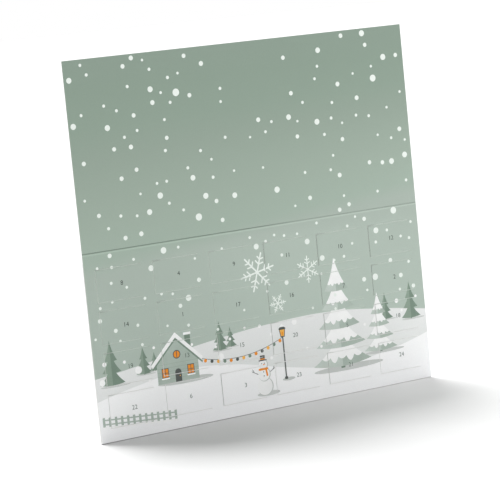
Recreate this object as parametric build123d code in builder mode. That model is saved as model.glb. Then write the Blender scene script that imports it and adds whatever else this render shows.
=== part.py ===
from build123d import *
import os

# Folding advent calendar of thin card, opened flat and standing on its lower edge.
# One sheet of card has three panels of the same height. The upper leaf folds back at the
# crease. The door panel below it holds the die-cut doors. The picture panel is folded up
# behind the door panel at the lower edge and glued to it.
# Frame: +X to the right, +Z up, the printed front faces -Y. The origin is at the middle of
# the lower edge, half way through the doubled card. Millimetres.

# Sheet
sheet_width = 210.0
leaf_height = 99.0
card_thickness = 0.36

# Glue film between the door panel and the picture panel
glue_thickness = 0.06
glue_setback = 0.8

# Picture panel: how far its top edge stops below the crease, so that the leaf can fold back
picture_setback = 5.0

# Door grid
door_columns = 6
door_rows = 4
side_margin = 6.5
column_gap = 7.0
top_margin = 9.1
bottom_margin = 7.5
row_gap = 4.8

# Die-cut slit round three sides of a door, and the edge that the cutting rule rolls over
slit_width = 0.16
edge_roll = 0.07

# Nicks: slivers of card that hold a closed door in its panel
nick_width = 0.6
nick_gap = 0.04
nick_thickness_share = 0.5
nicks_on_free_edge_shares = (-0.3, 0.3)
nick_on_slit_share = -0.1

# Crease between the leaves: a shallow V pressed into the printed side
crease_half_width = 0.4
crease_depth = 0.16

# The number printed on each door, row by row from the top, left to right
door_labels = (
    "08 04 09 11 10 12",
    "14 01 17 16 07 02",
    "19 13 15 20 05 18",
    "22 06 03 23 21 24",
)

# Sizes that follow from the ones above
laminate = 2 * card_thickness + glue_thickness
fold_radius = laminate / 2
fold_inner_radius = glue_thickness / 2
half_width = sheet_width / 2
sheet_height = 2 * leaf_height
picture_top = leaf_height - picture_setback
door_width = (sheet_width - 2 * side_margin - (door_columns - 1) * column_gap) / door_columns
door_height = (leaf_height - top_margin - bottom_margin - (door_rows - 1) * row_gap) / door_rows
door_pitch_x = door_width + column_gap
door_pitch_z = door_height + row_gap

# Planes: the printed face of the sheet, the unprinted back of the same card, which the glue
# film meets, and a cross-section at the left edge. The first two point at the viewer, so a
# negative extrusion goes away from the viewer.
printed_face = Plane.XZ.offset(fold_radius)
card_back = printed_face.offset(-card_thickness)
left_section = Plane.YZ.offset(-half_width)


def door_centre(column, row):
    """Centre of a door on the printed face, row 0 at the top."""
    x = -half_width + side_margin + door_width / 2 + column * door_pitch_x
    z = leaf_height - top_margin - door_height / 2 - row * door_pitch_z
    return x, z


door_cells = [(column, row) for row in range(door_rows) for column in range(door_columns)]


def crease_profile():
    """Cross-section of the V pressed into the printed side at the crease."""
    return Polyline(
        (-fold_radius, leaf_height - crease_half_width),
        (-fold_radius, leaf_height + crease_half_width),
        (-fold_radius + crease_depth, leaf_height),
        close=True,
    )


def is_cut_edge(edge, hinge_x):
    """A door's hinge edge stays square. Its three cut edges are rolled over."""
    return abs(edge.center().X - hinge_x) > slit_width


def save(piece, name):
    """Label a piece with its node's name and write it to its own file."""
    piece.label = name
    export_step(piece, f"parts/{name}.step")


os.makedirs("parts", exist_ok=True)

# Upper leaf: the plain panel above the crease
with BuildPart() as upper_leaf:
    with BuildSketch(printed_face):
        with Locations((0, leaf_height + leaf_height / 2)):
            Rectangle(sheet_width, leaf_height)
    extrude(amount=-card_thickness)
    with BuildSketch(left_section):
        with BuildLine():
            crease_profile()
        make_face()
    extrude(amount=sheet_width, mode=Mode.SUBTRACT)

save(upper_leaf.part, "upper_leaf")

# Door panel: from the crease down to the start of the fold, with a window for each door.
# A window is wider than its door by the slit on three sides, and meets it at the hinge.
door_panel_height = leaf_height - fold_radius

with BuildPart() as door_panel:
    with BuildSketch(printed_face):
        with Locations((0, fold_radius + door_panel_height / 2)):
            Rectangle(sheet_width, door_panel_height)
        for column, row in door_cells:
            centre_x, centre_z = door_centre(column, row)
            with Locations((centre_x - slit_width / 2, centre_z)):
                Rectangle(door_width + slit_width, door_height + 2 * slit_width, mode=Mode.SUBTRACT)
    extrude(amount=-card_thickness)
    front_face = door_panel.faces().sort_by(Axis.Y)[0]
    window_edges = ShapeList()
    for window in front_face.inner_wires():
        hinge_x = window.bounding_box().max.X
        window_edges += window.edges().filter_by(lambda edge: is_cut_edge(edge, hinge_x))
    chamfer(window_edges, length=edge_roll)
    with BuildSketch(left_section):
        with BuildLine():
            crease_profile()
        make_face()
    extrude(amount=sheet_width, mode=Mode.SUBTRACT)

save(door_panel.part, "door_panel")

# Picture panel: the fold at the lower edge and the panel that it carries up behind the doors
with BuildPart() as picture_panel:
    with BuildSketch(left_section):
        with BuildLine():
            CenterArc((0, fold_radius), fold_radius, 180, 180)
            Polyline(
                (fold_radius, fold_radius),
                (fold_radius, picture_top),
                (fold_inner_radius, picture_top),
                (fold_inner_radius, fold_radius),
            )
            CenterArc((0, fold_radius), fold_inner_radius, 180, 180)
            Line((-fold_inner_radius, fold_radius), (-fold_radius, fold_radius))
        make_face()
    extrude(amount=sheet_width)

save(picture_panel.part, "picture_panel")

# Glue film: a band round the edge and a strip between the rows, clear of every door
glue_bottom = fold_radius + glue_setback
glue_height = picture_top - glue_setback - glue_bottom
glue_slot_width = sheet_width - 2 * side_margin + 2 * glue_setback
glue_slot_height = door_height + 2 * glue_setback

with BuildPart() as glue_film:
    with BuildSketch(card_back):
        with Locations((0, glue_bottom + glue_height / 2)):
            Rectangle(sheet_width - 2 * glue_setback, glue_height)
        for row in range(door_rows):
            row_z = door_centre(0, row)[1]
            with Locations((0, row_z)):
                Rectangle(glue_slot_width, glue_slot_height, mode=Mode.SUBTRACT)
    extrude(amount=-glue_thickness)

save(glue_film.part, "glue_film")

# Doors: each is a flap of the panel's own card, hinged along its right edge. Nicks half as
# thick as the card reach across the slit on the three cut sides.
nick_reach = slit_width - nick_gap
nick_thickness = card_thickness * nick_thickness_share

for column, row in door_cells:
    centre_x, centre_z = door_centre(column, row)
    hinge_x = centre_x + door_width / 2
    with BuildPart() as door:
        with BuildSketch(printed_face):
            with Locations((centre_x, centre_z)):
                Rectangle(door_width, door_height)
        extrude(amount=-card_thickness)
        front_edges = door.faces().sort_by(Axis.Y)[0].edges()
        chamfer(front_edges.filter_by(lambda edge: is_cut_edge(edge, hinge_x)), length=edge_roll)
        with BuildSketch(card_back):
            for share in nicks_on_free_edge_shares:
                with Locations((centre_x - door_width / 2 - nick_reach / 2, centre_z + share * door_height)):
                    Rectangle(nick_reach, nick_width)
            for side in (-1, 1):
                nick_x = centre_x + nick_on_slit_share * door_width
                nick_z = centre_z + side * (door_height + nick_reach) / 2
                with Locations((nick_x, nick_z)):
                    Rectangle(nick_width, nick_reach)
        extrude(amount=nick_thickness)
    door_label = door_labels[row].split()[column]
    save(door.part, f"door_{door_label}")

print(f"door {door_width:.2f} x {door_height:.2f}, pitch {door_pitch_x:.2f} x {door_pitch_z:.2f}")
print(f"laminate {laminate:.2f}, sheet height {sheet_height:.1f}")
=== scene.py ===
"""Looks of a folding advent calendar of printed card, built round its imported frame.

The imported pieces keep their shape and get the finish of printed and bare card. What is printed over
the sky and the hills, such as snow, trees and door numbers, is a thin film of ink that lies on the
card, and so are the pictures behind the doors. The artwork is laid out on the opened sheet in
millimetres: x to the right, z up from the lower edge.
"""

import logging
import math
import random
from collections.abc import Iterable, Iterator
from dataclasses import dataclass, field
from enum import Enum
from functools import cached_property

import bpy
from mathutils import Matrix, Vector
from mathutils.geometry import delaunay_2d_cdt


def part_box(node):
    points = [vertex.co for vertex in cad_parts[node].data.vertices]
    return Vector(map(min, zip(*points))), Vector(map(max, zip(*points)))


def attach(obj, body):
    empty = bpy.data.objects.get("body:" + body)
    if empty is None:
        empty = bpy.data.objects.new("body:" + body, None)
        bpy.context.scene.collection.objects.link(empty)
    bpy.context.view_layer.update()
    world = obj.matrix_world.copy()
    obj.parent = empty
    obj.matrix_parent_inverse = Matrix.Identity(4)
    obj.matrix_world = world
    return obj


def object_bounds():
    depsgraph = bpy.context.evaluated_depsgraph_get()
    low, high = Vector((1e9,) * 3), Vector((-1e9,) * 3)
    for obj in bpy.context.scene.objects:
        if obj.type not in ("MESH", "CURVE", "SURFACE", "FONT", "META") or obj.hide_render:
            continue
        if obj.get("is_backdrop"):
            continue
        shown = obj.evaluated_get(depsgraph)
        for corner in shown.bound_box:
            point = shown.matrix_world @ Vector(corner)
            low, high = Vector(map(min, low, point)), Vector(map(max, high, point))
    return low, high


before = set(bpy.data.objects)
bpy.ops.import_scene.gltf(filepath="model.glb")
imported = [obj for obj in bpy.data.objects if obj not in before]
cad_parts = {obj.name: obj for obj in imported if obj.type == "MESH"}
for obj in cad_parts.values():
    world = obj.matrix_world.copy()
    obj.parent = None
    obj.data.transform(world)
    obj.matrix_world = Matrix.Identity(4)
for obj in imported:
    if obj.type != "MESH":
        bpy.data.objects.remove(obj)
cad_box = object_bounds()

log = logging.getLogger("calendar")

MM = 0.001

Point = tuple[float, float]
Outline = list[Point]
Colour = tuple[int, int, int]
Socket = bpy.types.NodeSocket
Input = float | tuple | Socket


# Outlines on the sheet


def along(start: Point, end: Point, share: float) -> Point:
    """Gives the point at a share of the way from one point to another."""
    return (start[0] + (end[0] - start[0]) * share, start[1] + (end[1] - start[1]) * share)


def away(start: Point, heading: float, length: float) -> Point:
    """Gives the point at a length from another, at so many degrees anticlockwise from the right."""
    angle = math.radians(heading)
    return (start[0] + length * math.cos(angle), start[1] + length * math.sin(angle))


def bow(start: Point, control: Point, end: Point, steps: int) -> Outline:
    """Draws a bowed line that leaves its start and reaches its end pointing at one control point."""
    shares = [step / steps for step in range(steps + 1)]
    return [along(along(start, control, share), along(control, end, share), share) for share in shares]


def arc(x: float, z: float, radius: float, start: float, sweep: float, steps: int) -> Outline:
    """Draws an arc about a centre. Its start and sweep are in degrees, anticlockwise from the right."""
    return [away((x, z), start + sweep * step / steps, radius) for step in range(steps + 1)]


def oval(x: float, z: float, half_width: float, half_height: float) -> Outline:
    """Draws an oval about a centre, with more sides where it is larger.

    Args:
        x: The centre's place across the sheet.
        z: The centre's height.
        half_width: Half its width.
        half_height: Half its height.

    Returns:
        The oval's points.
    """
    sides = min(56, 18 + 2 * round(4 * max(half_width, half_height)))
    angles = [math.tau * side / sides for side in range(sides)]
    return [(x + half_width * math.cos(angle), z + half_height * math.sin(angle)) for angle in angles]


def disc(x: float, z: float, radius: float) -> Outline:
    """Draws a round spot."""
    return oval(x, z, radius, radius)


def rectangle(left: float, bottom: float, right: float, top: float) -> Outline:
    """Draws an upright rectangle."""
    return [(left, bottom), (right, bottom), (right, top), (left, top)]


def block(x: float, half: float, bottom: float, top: float, top_half: float | None = None) -> Outline:
    """Draws a block about an upright middle line, as wide at its top as at its foot or tapered."""
    upper = half if top_half is None else top_half
    return [(x - half, bottom), (x + half, bottom), (x + upper, top), (x - upper, top)]


def stroke(start: Point, end: Point, width: float) -> Outline:
    """Draws a straight stroke with round ends."""
    heading = math.degrees(math.atan2(end[1] - start[1], end[0] - start[0]))
    return arc(*start, width / 2, heading + 90, 180, 6) + arc(*end, width / 2, heading - 90, 180, 6)


def signed_area(outline: Outline) -> float:
    """Measures an outline's area, positive if it runs anticlockwise."""
    following = outline[1:] + outline[:1]
    return sum(a[0] * b[1] - b[0] * a[1] for a, b in zip(outline, following)) / 2


# Finishes


def written(colour: Colour) -> tuple[float, float, float, float]:
    """Turns a colour, as a paint chart gives it, into the shader's linear values.

    Args:
        colour: The red, green and blue, 0 to 255.

    Returns:
        The linear values and a full alpha.
    """
    shares = (value / 255 for value in colour)
    linear = (((share + 0.055) / 1.055) ** 2.4 if share > 0.04045 else share / 12.92 for share in shares)
    return (*linear, 1.0)


class Nodes:
    """The nodes of a material or a world while they are put together."""

    def __init__(self, tree: bpy.types.NodeTree) -> None:
        """Starts on a tree of nodes."""
        self.tree = tree

    def add(
        self, kind: str, inputs: dict[int | str, Input] | None = None, **settings: object
    ) -> bpy.types.Node:
        """Adds a node.

        Args:
            kind: The node's type in Blender.
            inputs: A value or another node's socket for each input that is set.
            settings: The node's own settings by name.

        Returns:
            The new node.
        """
        node = self.tree.nodes.new(kind)
        for name, value in settings.items():
            setattr(node, name, value)
        for name, value in (inputs or {}).items():
            if isinstance(value, Socket):
                self.tree.links.new(value, node.inputs[name])
            else:
                node.inputs[name].default_value = value
        return node

    def sum(self, operation: str, *values: Input) -> Socket:
        """Adds a Math node and gives its result."""
        return self.add("ShaderNodeMath", dict(enumerate(values)), operation=operation).outputs[0]


class Finish(Nodes):
    """The nodes of one material. Patterns follow the piece's own place."""

    def __init__(self, name: str) -> None:
        """Starts an empty material.

        Args:
            name: The material's name.
        """
        self.material = bpy.data.materials.new(name)
        self.material.use_nodes = True
        super().__init__(self.material.node_tree)
        self.tree.nodes.clear()
        self.coordinates = self.add("ShaderNodeTexCoord").outputs
        self.place = self.coordinates["Object"]

    @cached_property
    def at(self) -> bpy.types.bpy_prop_collection:
        """The place's X, Y and Z in millimetres."""
        return self.add("ShaderNodeSeparateXYZ", {0: self.scale(self.place, 1 / MM)}).outputs

    def mix(self, share: Input, *pair: Socket | Colour) -> Socket:
        """Mixes two colours by a share of the second, and gives the result."""
        first, second = (colour if isinstance(colour, Socket) else written(colour) for colour in pair)
        return self.add("ShaderNodeMix", {0: share, 6: first, 7: second}, data_type="RGBA").outputs[2]

    def vary(self, pattern: Socket, low: float, middle: float, spread: float) -> Socket:
        """Varies a value about its middle. The pattern counts between a low share and 1 less it."""
        return self.span(pattern, low, 1 - low, middle - spread, middle + spread)

    def scale(self, vector: Input, share: Input) -> Socket:
        """Makes a colour lighter or darker, or a place larger or smaller, and gives the result."""
        inputs = {0: vector, "Scale": share}
        return self.add("ShaderNodeVectorMath", inputs, operation="SCALE").outputs[0]

    def noise(self, size: float, detail: float = 2.0, stretch: tuple = (1, 1, 1)) -> Socket:
        """Adds a noise pattern.

        Args:
            size: The size of its larger spots in millimetres.
            detail: How many finer layers lie on it.
            stretch: How much denser it is along each axis.

        Returns:
            The pattern's value, about 0.5 on average.
        """
        place = self.place
        if stretch != (1, 1, 1):
            place = self.add("ShaderNodeMapping", {"Vector": place, "Scale": stretch}).outputs[0]
        inputs = {"Vector": place, "Scale": 1 / (size * MM), "Detail": detail}
        return self.add("ShaderNodeTexNoise", inputs).outputs["Fac"]

    def span(
        self, value: Input, low: float, high: float, start: Input = 0.0, end: Input = 1.0
    ) -> Socket:
        """Maps a value from one range onto another, smoothly and no further.

        Args:
            value: The value.
            low: The start of its range.
            high: The end of its range.
            start: What the start becomes.
            end: What the end becomes.

        Returns:
            The mapped value.
        """
        inputs = {0: value, 1: low, 2: high, 3: start, 4: end}
        return self.add("ShaderNodeMapRange", inputs, interpolation_type="SMOOTHSTEP").outputs[0]

    def ramp(self, value: Input, stops: Iterable[tuple[float, Colour]]) -> Socket:
        """Adds a row of colours that run into each other.

        Args:
            value: The place in the row, 0 to 1.
            stops: The colours and their places, in order.

        Returns:
            The colour.
        """
        node = self.add("ShaderNodeValToRGB", {0: value})
        row = node.color_ramp.elements
        for index, (share, colour) in enumerate(stops):
            stop = row[index] if index < 2 else row.new(share)
            stop.position = share
            stop.color = written(colour)
        return node.outputs["Color"]

    def bump(self, height: Socket, distance: float, **under: Socket) -> Socket:
        """Bends the normal by a relief so many millimetres high, over another one's Normal."""
        inputs = {"Height": height, "Distance": distance * MM, **under}
        return self.add("ShaderNodeBump", inputs).outputs[0]

    def end(self, shader: bpy.types.Node) -> bpy.types.Material:
        """Puts a shader on the material's surface, and gives the material."""
        self.add("ShaderNodeOutputMaterial", {"Surface": shader.outputs[0]})
        return self.material

    def close(self, colour: Input, roughness: Input, relief: Socket, shine: float) -> bpy.types.Material:
        """Adds the shader and ends the material.

        Args:
            colour: The base colour.
            roughness: The roughness.
            relief: The bent normal.
            shine: The level of the mirror-like light.

        Returns:
            The material.
        """
        inputs = {"Base Color": colour, "Roughness": roughness, "Normal": relief}
        return self.end(self.add("ShaderNodeBsdfPrincipled", inputs | {"Specular IOR Level": shine}))


@dataclass(frozen=True)
class Grain:
    """The grain of the card: tufts of felted fibres and long slight waves.

    Each has its size and its relief, which is how far it stands out, in millimetres.
    """

    fibre_size: float = 0.22
    fibre_relief: float = 0.003
    wave_size: float = 26.0
    wave_relief: float = 0.05

    def relief(self, finish: Finish) -> Socket:
        """Adds the grain to a material.

        Args:
            finish: The material.

        Returns:
            The bent normal.
        """
        waves = finish.bump(finish.noise(self.wave_size, 1.0), self.wave_relief)
        fibres = finish.noise(self.fibre_size, 3.0, (1, 1, 2.2))
        return finish.bump(fibres, self.fibre_relief, Normal=waves)


@dataclass(frozen=True)
class InkFinish:
    """A matt printed ink, a little uneven where it lies on the grain of the card.

    Attributes:
        colour: The ink's colour.
        mottle: How much its tone varies, as a share.
        roughness: How matt it is.
        spread: How much that varies.
        shine: How much it mirrors.
        spot_size: The size of its spots in millimetres.
        cloud_size: The size of its clouds in millimetres.
        grain: The card's grain under it.
    """

    colour: Colour
    mottle: float = 0.035
    roughness: float = 0.6
    spread: float = 0.06
    shine: float = 0.35
    spot_size: float = 0.5
    cloud_size: float = 9.0
    grain: Grain = Grain()

    def material(self, name: str) -> bpy.types.Material:
        """Makes the material.

        Args:
            name: The material's name.

        Returns:
            The material.
        """
        finish = Finish(name)
        darker = tuple(round(value * (1 - self.mottle)) for value in self.colour)
        lighter = tuple(min(255, round(value * (1 + self.mottle))) for value in self.colour)
        spots, clouds = finish.noise(self.spot_size, 3.0), finish.noise(self.cloud_size, 1.0)
        share = finish.span(finish.sum("ADD", spots, clouds), 0.6, 1.4)
        colour = finish.mix(share, darker, lighter)
        roughness = finish.vary(spots, 0.2, self.roughness, self.spread)
        return finish.close(colour, roughness, self.grain.relief(finish), self.shine)


class Ink(Enum):
    """The inks of the artwork."""

    SNOW = InkFinish((243, 244, 243), 0.012)
    FLAKES = InkFinish((231, 238, 232), 0.012)
    MIST = InkFinish((197, 201, 198), 0.02)
    PALE = InkFinish((190, 201, 193))
    PALE_SHADE = InkFinish((168, 182, 172))
    FIR = InkFinish((134, 153, 138))
    FIR_SHADE = InkFinish((115, 136, 121))
    SAGE = InkFinish((150, 168, 154))
    ORANGE = InkFinish((233, 142, 28))
    AMBER = InkFinish((240, 178, 78))
    CHARCOAL = InkFinish((76, 82, 79))
    NUMBER = InkFinish((84, 98, 89))
    SKY_NUMBER = InkFinish((46, 56, 50))


@dataclass(frozen=True)
class SnowHill:
    """A hill of snow printed right across the sheet.

    Attributes:
        crest: Points of its crest from the left edge to the right, which a smooth curve joins.
        crest_colour: Its colour along the crest.
        foot_colour: Its colour well below the crest.
        depth: How far below the crest it has that colour.
    """

    crest: tuple[Point, ...]
    crest_colour: Colour
    foot_colour: Colour
    depth: float

    def cover(self, finish: Finish, sheet: "Sheet", behind: Socket) -> Socket:
        """Prints the hill over what lies behind it.

        Args:
            finish: The material.
            sheet: The sheet's layout.
            behind: The colour behind the hill.

        Returns:
            The colour with the hill.
        """
        reach = sheet.half_width
        across = finish.add("ShaderNodeMapRange", {0: finish.at["X"], 1: -reach, 2: reach})
        line = finish.add("ShaderNodeFloatCurve", {"Value": across.outputs[0]})
        points = line.mapping.curves[0].points
        places = [((x / reach + 1) / 2, height / sheet.crease) for x, height in self.crest]
        points[0].location, points[1].location = places[0], places[-1]
        for place in places[1:-1]:
            points.new(*place)
        line.mapping.update()
        crest = finish.sum("MULTIPLY", line.outputs[0], sheet.crease)
        below = finish.sum("SUBTRACT", crest, finish.at["Z"])
        depth = finish.span(below, 0.0, self.depth)
        snow = finish.mix(depth, self.crest_colour, self.foot_colour)
        return finish.mix(finish.span(below, -sheet.print_blur, sheet.print_blur), behind, snow)


@dataclass(frozen=True)
class FoldWear:
    """The painted shade of the fold along the lower edge, darker at the left than at the right.

    Attributes:
        reach: The heights between which it fades out, in millimetres.
        shade: How dark it is at the left side and at the right.
        sides: The places across the sheet where it is as dark as that.
        colour: The colour of the painted shade.
    """

    reach: Point = (0.368, 0.46)
    shade: Point = (0.88, 0.32)
    sides: Point = (-100.0, 100.0)
    colour: Colour = (140, 140, 141)

    def rub(self, finish: Finish, colour: Socket) -> Socket:
        """Paints shade into a card's colour along the fold.

        Args:
            finish: The material.
            colour: The card's colour.

        Returns:
            The colour with the painted shade.
        """
        # Painted shade along the fold, darker at the left side than at the right.
        shade = finish.span(finish.at["X"], *self.sides, *self.shade)
        share = finish.span(finish.at["Z"], *self.reach, shade, 0.0)
        return finish.mix(share, colour, self.colour)


@dataclass(frozen=True)
class BareCard:
    """The unprinted card, with fine fibres, and specks and faint clouds of darker pulp.

    Its roughness varies by its spread, and the sizes of its patterns are in millimetres. The fold along
    its lower edge gets painted shade.
    """

    colour: Colour = (237, 238, 235)
    speck_colour: Colour = (219, 221, 216)
    speck_size: float = 0.35
    cloud_size: float = 14.0
    roughness: float = 0.82
    spread: float = 0.05
    rub_size: float = 0.6
    shine: float = 0.25
    grain: Grain = Grain(fibre_relief=0.007)
    fold: FoldWear = FoldWear()

    def pulp(self, finish: Finish) -> Socket:
        """Mixes the card's colour, clouded and specked.

        Args:
            finish: The material.

        Returns:
            The colour.
        """
        specks = finish.span(finish.noise(self.speck_size, 4.0), 0.52, 0.78, 0.0, 0.8)
        clouds = finish.span(finish.noise(self.cloud_size), 0.3, 0.7, 0.0, 0.25)
        share = finish.sum("MAXIMUM", specks, clouds)
        return finish.mix(share, self.colour, self.speck_colour)

    def material(self, name: str) -> bpy.types.Material:
        """Makes the material.

        Args:
            name: The material's name.

        Returns:
            The material.
        """
        finish = Finish(name)
        roughness = finish.vary(finish.noise(self.rub_size), 0.3, self.roughness, self.spread)
        # The fold along the lower edge gets painted shade.
        colour = self.fold.rub(finish, self.pulp(finish))
        return finish.close(colour, roughness, self.grain.relief(finish), self.shine)


@dataclass(frozen=True)
class CutMarks:
    """What the die and the creasing rule leave in the print.

    Pale fibres along the cuts, and painted shade and highlights at the cuts and the crease.
    them, stand up a hair at their free edge, which puts the cut there in the shade. The crease is
    dark, less so at the right, with a pale line below it.

    Attributes:
        reach: How far a mark reaches from a slit.
        fibres: How many times lighter the pale fibres and the painted highlight make the print.
        fibre_limit: The lightest that they make it, as the shader's linear value.
        shade: How dark the painted shade at the cuts and the crease is.
        shaded: The places across the sheet between which the free edges go into the painted shade.
        ajar: The labels of the doors of the lowest row whose free edge gets painted shade too.
        near: How far past a door's edge a mark is still the door's.
        corner: How dark the painted shade at a door's upper free corner is.
        crease_core: Half the width of the darkest part of the crease's painted shade.
        crease_blur: How far its painted shade reaches past its groove.
        crease_shade: How much of the crease's painted shade is left at the right.
        crease_fade: The places across the sheet between which the rest of it goes.
        shade_colour: The colour of the painted shade.
        press_reach: How far from a slit the card dips towards it.
        press_relief: How far it dips.
        line: How far below the groove the painted highlight line's middle is, and half its width.
        line_share: How pale the painted highlight line is.
    """

    reach: float = 0.24
    fibres: float = 1.42
    fibre_limit: float = 0.98
    shade: float = 0.5
    shaded: Point = (-45.0, 25.0)
    ajar: tuple[str, ...] = ("03", "21")
    near: float = 1.0
    corner: float = 0.8
    crease_core: float = 0.1
    crease_blur: float = 0.05
    crease_shade: float = 0.5
    crease_fade: Point = (0.0, 30.0)
    shade_colour: Colour = (74, 88, 79)
    press_reach: float = 1.6
    press_relief: float = 0.04
    line: float = 0.5
    line_share: float = 0.44

    def repeat(self, finish: Finish, place: Socket, middles: list[float]) -> Socket:
        """Gives how far a place lies from the middle of its own door.

        Args:
            finish: The material.
            place: The place across the sheet or up it.
            middles: The middles of the doors along that way, evenly spaced.

        Returns:
            The distance, negative to the left or below.
        """
        half = (middles[1] - middles[0]) / 2
        return finish.sum("WRAP", finish.sum("SUBTRACT", place, middles[0]), half, -half)

    def standing(self, finish: Finish, sheet: "Sheet") -> Socket:
        """Tells where the doors' free edges get painted shade.

        Args:
            finish: The material.
            sheet: The sheet's layout.

        Returns:
            1 at a free edge with painted shade, and 0 elsewhere.
        """
        x, z = finish.at["X"], finish.at["Z"]
        ajar = [door for door in sheet.doors if door.label in self.ajar]
        lowest = max(door.top for door in ajar) + self.near
        above, below = finish.sum("GREATER_THAN", z, lowest), finish.sum("LESS_THAN", z, lowest)
        # Painted shade at the free edges: across the three upper rows, more to the right, and at the
        # listed doors of the lowest row.
        standing = finish.sum("MULTIPLY", finish.span(x, *self.shaded), above)
        for door in ajar:
            near = finish.sum("COMPARE", x, door.left, self.near)
            standing = finish.sum("MAXIMUM", standing, finish.sum("MULTIPLY", near, below))
        return standing

    def slits(self, finish: Finish, sheet: "Sheet") -> tuple[Socket, Socket, Socket]:
        """Finds the slits.

        Args:
            finish: The material.
            sheet: The sheet's layout.

        Returns:
            How much of a mark there is, how much of it gets painted shade, and how far the card dips.
        """
        door, rows, z = sheet.doors[0], sheet.rows, finish.at["Z"]
        half_width, half_height = (door.right - door.left) / 2, (door.top - door.bottom) / 2
        across = self.repeat(finish, finish.at["X"], sheet.columns)
        upward = self.repeat(finish, z, rows)
        to_side = finish.sum("SUBTRACT", -half_width, across)
        to_level = finish.sum("SUBTRACT", finish.sum("ABSOLUTE", upward), half_height)
        off = finish.sum("SUBTRACT", finish.sum("MAXIMUM", to_side, to_level), sheet.slit / 2)
        off = finish.sum("ABSOLUTE", off)
        room = (rows[-1] - rows[0]) / 2 + half_height + self.press_reach
        in_rows = finish.sum("COMPARE", z, (rows[0] + rows[-1]) / 2, room)
        there = finish.sum("MULTIPLY", in_rows, finish.sum("LESS_THAN", across, half_width))
        cut = finish.span(off, sheet.slit / 2, sheet.slit / 2 + self.reach, there, 0.0)
        # Painted shade at a door's upper free corner.
        corner = finish.span(across, -half_width, -half_width / 2, self.corner, 0.0)
        corner = finish.sum("MULTIPLY", corner, finish.sum("GREATER_THAN", upward, 0.0))
        level = finish.sum("GREATER_THAN", to_level, to_side)
        inputs = {0: level, 2: self.standing(finish, sheet), 3: corner}
        shaded = finish.add("ShaderNodeMix", inputs).outputs[0]
        return cut, shaded, finish.span(off, 0.0, self.press_reach, there, 0.0)

    def apply(self, finish: Finish, sheet: "Sheet", colour: Socket) -> tuple[Socket, Socket]:
        """Puts the pale fibres, the painted shade and the painted highlights into the print.

        Args:
            finish: The material.
            sheet: The sheet's layout.
            colour: The print's colour.

        Returns:
            The colour with the fibres, painted shade and painted highlights, and how far the card stands
            up, 1 where it isn't pressed.
        """
        cut, shaded, dip = self.slits(finish, sheet)
        over = finish.sum("SUBTRACT", finish.at["Z"], sheet.crease)
        below = finish.sum("ABSOLUTE", finish.sum("ADD", over, sheet.crease_half_width + self.line))
        line = finish.span(below, self.crease_core, self.line, self.line_share, 0.0)
        # Pale fibres and painted highlight along the cuts that are not in painted shade, and a painted
        # highlight line below the crease.
        pale = finish.sum("MULTIPLY", cut, finish.sum("SUBTRACT", 1.0, shaded))
        inputs = {0: finish.scale(colour, self.fibres), 1: (self.fibre_limit,) * 3}
        lighter = finish.add("ShaderNodeVectorMath", inputs, operation="MINIMUM").outputs[0]
        colour = finish.mix(finish.sum("MAXIMUM", pale, line), colour, lighter)
        # Painted shade in the shaded cuts and along the crease's groove.
        rim = sheet.crease_half_width + self.crease_blur
        crease_shade = finish.span(finish.at["X"], *self.crease_fade, 1.0, self.crease_shade)
        groove = finish.span(finish.sum("ABSOLUTE", over), self.crease_core, rim, crease_shade, 0.0)
        dark = finish.sum("MAXIMUM", finish.sum("MULTIPLY", cut, shaded), groove)
        colour = finish.mix(finish.sum("MULTIPLY", dark, self.shade), colour, self.shade_colour)
        return colour, finish.sum("SUBTRACT", 1.0, dip)


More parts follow.
